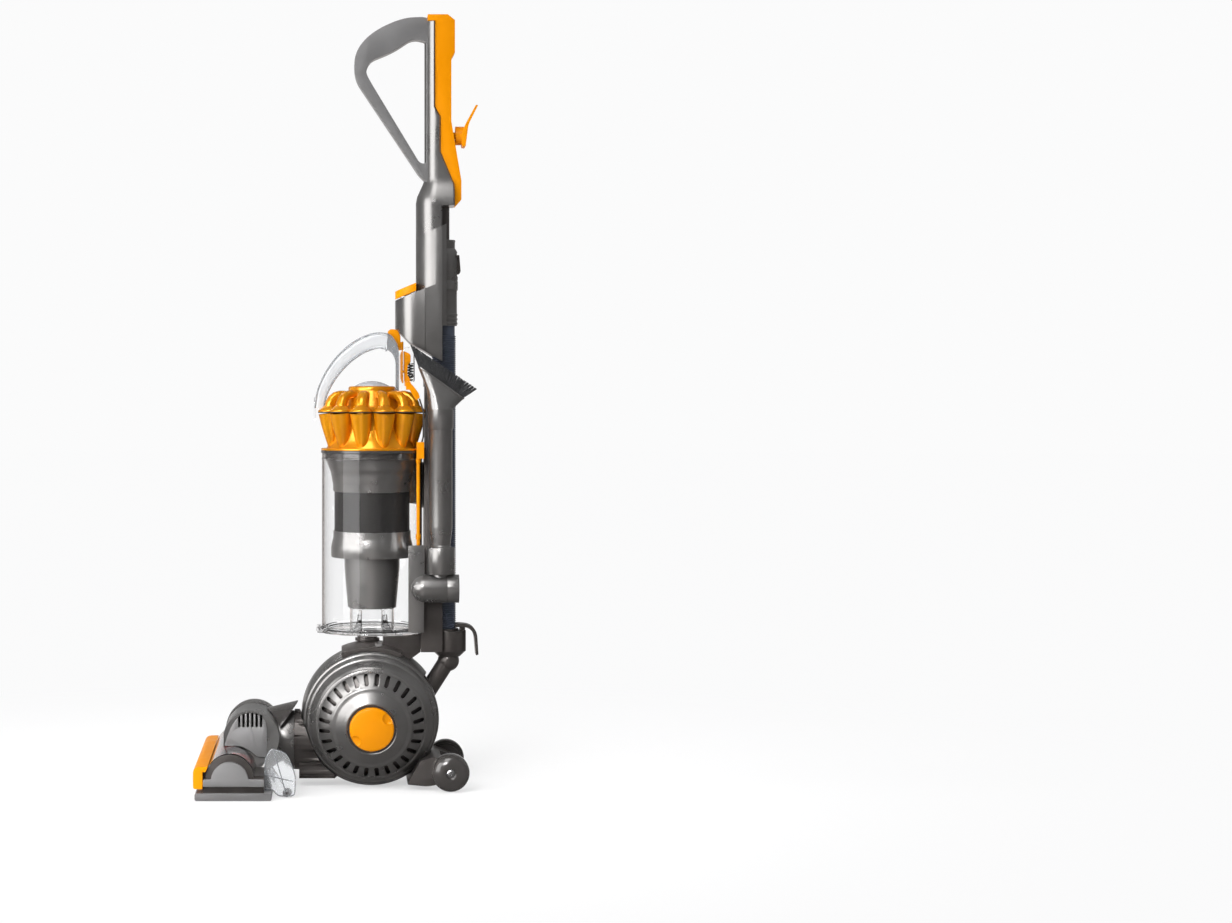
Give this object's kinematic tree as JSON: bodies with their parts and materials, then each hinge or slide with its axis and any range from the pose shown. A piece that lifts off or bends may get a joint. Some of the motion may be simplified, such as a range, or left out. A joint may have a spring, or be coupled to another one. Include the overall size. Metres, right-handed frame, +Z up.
{
  "type": "upright vacuum cleaner",
  "caption": "Upright vacuum cleaner on a rolling ball, with a floor head, clear dust bin, cyclone pack, loop handle and stored hose and tool.",
  "frame": {"origin": "on the floor, at the centre of the plan box", "axes": "+Z up, -Y towards the floor head's front, +X to the machine's right side, which has the filter cap"},
  "size_m": [0.34, 0.3899, 1.074],
  "materials": {
    "iron_satin": "satin metallic iron grey",
    "dark_plastic": "dark satin",
    "gloss_dark": "glossy dark grey",
    "yellow_gloss": "glossy warm yellow",
    "amber_clear": "translucent metallic amber",
    "clear_plastic": "clear polycarbonate",
    "silver_metal": "satin",
    "steel_mesh": "perforated",
    "filter_white": "pleated",
    "dome_pearl": "pearl grey white",
    "seal_black": "matte",
    "hose_blue": "dark blue grey",
    "bristle_black": "bristle",
    "bristle_red": "bristle"
  },
  "bodies": {
    "head": {"soleplate": "iron_satin", "brush_housing": "dark_plastic", "end_caps": "iron_satin", "brush_cover": "clear_plastic", "bumper": "yellow_gloss", "motor_housing": "iron_satin", "neck_shroud": "gloss_dark", "neck_tube": "iron_satin", "brush_motor": "silver_metal", "drive_belt": "seal_black", "rear_legs": "clear_plastic"},
    "brush_bar": {"brush_bar": "dark_plastic", "black_bristles": "bristle_black", "red_bristles": "bristle_red"},
    "front_rollers": {"front_rollers": "dark_plastic"},
    "rear_rollers": {"rear_rollers": "dark_plastic"},
    "yoke": {"yoke": "dark_plastic"},
    "body": {"ball_core": "dark_plastic", "centre_band": "iron_satin", "shell_bearings": "silver_metal", "post_filter": "filter_white", "motor_can": "silver_metal", "spine": "dark_plastic", "upper_housing": "iron_satin", "hose_socket": "dark_plastic", "lower_hook": "dark_plastic", "bin_seat": "dark_plastic", "cuff": "iron_satin", "hose": "hose_blue", "tool_holder": "iron_satin"},
    "ball_right": {"ball_shell_right": "iron_satin"},
    "ball_left": {"ball_shell_left": "iron_satin"},
    "filter_cap": {"filter_cap": "yellow_gloss"},
    "impeller": {"impeller": "dark_plastic"},
    "stand": {"stand_frame": "dark_plastic"},
    "stand_wheel_right": {"stand_wheel_right": "gloss_dark"},
    "stand_wheel_left": {"stand_wheel_left": "gloss_dark"},
    "bin": {"bin_shell": "clear_plastic", "rod_guide": "iron_satin", "inlet_seal": "seal_black", "outlet_ring": "dark_plastic", "shroud": "iron_satin", "mesh": "steel_mesh", "inner_cone": "iron_satin", "cyclones": "amber_clear", "cyclone_cap": "dome_pearl", "bin_handle": "clear_plastic"},
    "bin_base": {"bin_base": "clear_plastic"},
    "trigger": {"trigger": "yellow_gloss"},
    "release_rod": {"release_rod": "yellow_gloss"},
    "wand": {"handle": "iron_satin", "handle_cover": "yellow_gloss", "wand_tube": "dark_plastic"},
    "cable_hook": {"cable_hook": "yellow_gloss"},
    "power_button": {"power_button": "yellow_gloss"},
    "brush_button": {"brush_button": "clear_plastic"},
    "cuff_lever": {"cuff_lever": "dark_plastic"},
    "tool": {"combination_tool": "iron_satin", "tool_bristles": "bristle_black"}
  },
  "joints": [
    {"name": "brush_spin", "type": "hinge", "parent": "head", "child": "brush_bar", "pos_m": [0, -0.146, 0.029], "axis": [1, 0, 0], "continuous": true},
    {"name": "front_roller_spin", "type": "hinge", "parent": "head", "child": "front_rollers", "pos_m": [0, -0.183, 0.0052], "axis": [1, 0, 0], "continuous": true},
    {"name": "rear_roller_spin", "type": "hinge", "parent": "head", "child": "rear_rollers", "pos_m": [0, -0.07, 0.0062], "axis": [1, 0, 0], "continuous": true},
    {"name": "neck_turn", "type": "hinge", "parent": "head", "child": "yoke", "pos_m": [0, -0.08, 0.062], "axis": [0, 1, 0], "range_deg": [-35, 35]},
    {"name": "recline", "type": "hinge", "parent": "yoke", "child": "body", "pos_m": [0, 0.045, 0.0973], "axis": [-1, 0, 0], "range_deg": [0, 65]},
    {"name": "ball_right_roll", "type": "hinge", "parent": "body", "child": "ball_right", "pos_m": [0, 0.045, 0.0973], "axis": [0.9925, 0, -0.1219], "continuous": true},
    {"name": "ball_left_roll", "type": "hinge", "parent": "body", "child": "ball_left", "pos_m": [0, 0.045, 0.0973], "axis": [0.9925, 0, 0.1219], "continuous": true},
    {"name": "filter_cap_turn", "type": "hinge", "parent": "body", "child": "filter_cap", "pos_m": [0, 0.045, 0.0973], "axis": [0.9925, 0, -0.1219], "range_deg": [0, 90]},
    {"name": "impeller_spin", "type": "hinge", "parent": "body", "child": "impeller", "pos_m": [0, 0.045, 0.0973], "axis": [0.9925, 0, 0.1219], "continuous": true},
    {"name": "stand_fold", "type": "hinge", "parent": "body", "child": "stand", "pos_m": [0, 0.045, 0.0973], "axis": [1, 0, 0], "range_deg": [0, 40]},
    {"name": "stand_wheel_right_roll", "type": "hinge", "parent": "stand", "child": "stand_wheel_right", "pos_m": [0.084, 0.153, 0.026], "axis": [1, 0, 0], "continuous": true},
    {"name": "stand_wheel_left_roll", "type": "hinge", "parent": "stand", "child": "stand_wheel_left", "pos_m": [-0.084, 0.153, 0.026], "axis": [1, 0, 0], "continuous": true},
    {"name": "bin_lift", "type": "slide", "parent": "body", "child": "bin", "axis": [0, -0.7507, 0.6606], "range_m": [0, 0.3]},
    {"name": "bin_base_open", "type": "hinge", "parent": "bin", "child": "bin_base", "pos_m": [0, -0.027, 0.2174], "axis": [-1, 0, 0], "range_deg": [0, 75]},
    {"name": "trigger_press", "type": "slide", "parent": "bin", "child": "trigger", "axis": [0, 0, -1], "range_m": [0, 0.006], "stiffness_N_per_m": 200, "springref_m": -0.005},
    {"name": "release_rod_slide", "type": "slide", "parent": "bin", "child": "release_rod", "axis": [0, 0, -1], "range_m": [0, 0.006]},
    {"name": "wand_lift", "type": "slide", "parent": "body", "child": "wand", "axis": [0, 0, 1], "range_m": [0, 0.12]},
    {"name": "cable_hook_turn", "type": "hinge", "parent": "wand", "child": "cable_hook", "pos_m": [0, 0.16, 0.906], "axis": [0, 1, 0], "range_deg": [0, 180]},
    {"name": "power_press", "type": "slide", "parent": "body", "child": "power_button", "axis": [0, 0, -1], "range_m": [0, 0.0015], "stiffness_N_per_m": 300, "springref_m": -0.003},
    {"name": "brush_press", "type": "slide", "parent": "body", "child": "brush_button", "axis": [0, 0, -1], "range_m": [0, 0.0015], "stiffness_N_per_m": 300, "springref_m": -0.003},
    {"name": "cuff_lever_press", "type": "hinge", "parent": "body", "child": "cuff_lever", "pos_m": [0, 0.1654, 0.737], "axis": [-1, 0, 0], "range_deg": [0, 3], "stiffness_Nm_per_rad": 0.05, "springref_deg": -11.46},
    {"name": "tool_lift", "type": "slide", "parent": "body", "child": "tool", "axis": [0, 0, 1], "range_m": [0, 0.06]}
  ],
  "couplings": [
    {"joint": "stand_fold", "follows": "recline", "ratio": 0.61538},
    {"joint": "bin_base_open", "follows": "bin_lift", "rad_per_m": 4.3629},
    {"joint": "release_rod_slide", "follows": "trigger_press", "ratio": 1}
  ]
}
